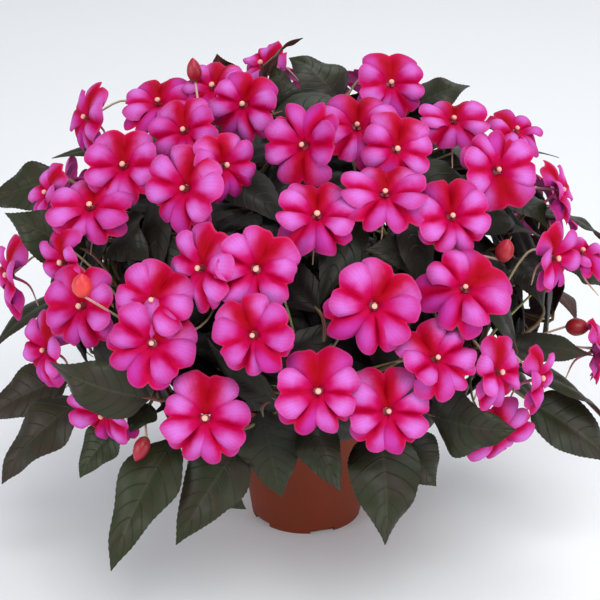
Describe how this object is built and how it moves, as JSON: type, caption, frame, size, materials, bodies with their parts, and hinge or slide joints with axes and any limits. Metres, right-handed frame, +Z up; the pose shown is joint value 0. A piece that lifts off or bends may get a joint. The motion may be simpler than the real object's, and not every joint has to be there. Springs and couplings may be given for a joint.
{
  "type": "potted new guinea impatiens",
  "caption": "Bushy flowering balcony plant in a small round nursery pot: a broad mound of dark pointed leaves under two-tone pink blooms.",
  "frame": {"origin": "centre of the flat underside of the pot", "axes": "+Z up along the pot's axis; the side that the picture shows faces -Y, with +X to its right"},
  "size_m": [0.4674, 0.4546, 0.3733],
  "materials": {
    "terracotta_plastic": "matte terracotta brown",
    "peat": "crumbly dark peat",
    "leaf": "satin dark olive green with a bronze cast",
    "petal": "velvety magenta pink with dark red blotches"
  },
  "bodies": {
    "root": {"pot": "terracotta_plastic", "soil": "peat", "leafy_stem_01": "leaf", "leafy_stem_02": "leaf", "leafy_stem_03": "leaf", "leafy_stem_04": "leaf", "leafy_stem_05": "leaf", "leafy_stem_06": "leaf", "leafy_stem_07": "leaf", "leafy_stem_08": "leaf", "leafy_stem_09": "leaf", "leafy_stem_10": "leaf", "leafy_stem_11": "leaf", "leafy_stem_12": "leaf", "bloom_01": "petal", "bloom_02": "petal", "bloom_03": "petal", "bloom_04": "petal", "bloom_05": "petal", "bloom_06": "petal", "bloom_07": "petal", "bloom_08": "petal", "bloom_09": "petal", "bloom_10": "petal", "bloom_11": "petal", "bloom_12": "petal", "bloom_13": "petal", "bloom_14": "petal", "bloom_15": "petal", "bloom_16": "petal", "bloom_17": "petal", "bloom_18": "petal", "bloom_19": "petal", "bloom_20": "petal", "bloom_21": "petal", "bloom_22": "petal", "bloom_23": "petal", "bloom_24": "petal", "bloom_25": "petal", "bloom_26": "petal", "bloom_27": "petal", "bloom_28": "petal", "bloom_29": "petal", "bloom_30": "petal", "bloom_31": "petal", "bloom_32": "petal", "bloom_33": "petal", "bloom_34": "petal", "bloom_35": "petal", "bloom_36": "petal", "bloom_37": "petal", "bloom_38": "petal", "bloom_39": "petal", "bloom_40": "petal", "bloom_41": "petal", "bloom_42": "petal", "bloom_43": "petal", "bloom_44": "petal", "bloom_45": "petal", "bloom_46": "petal"}
  },
  "joints": []
}
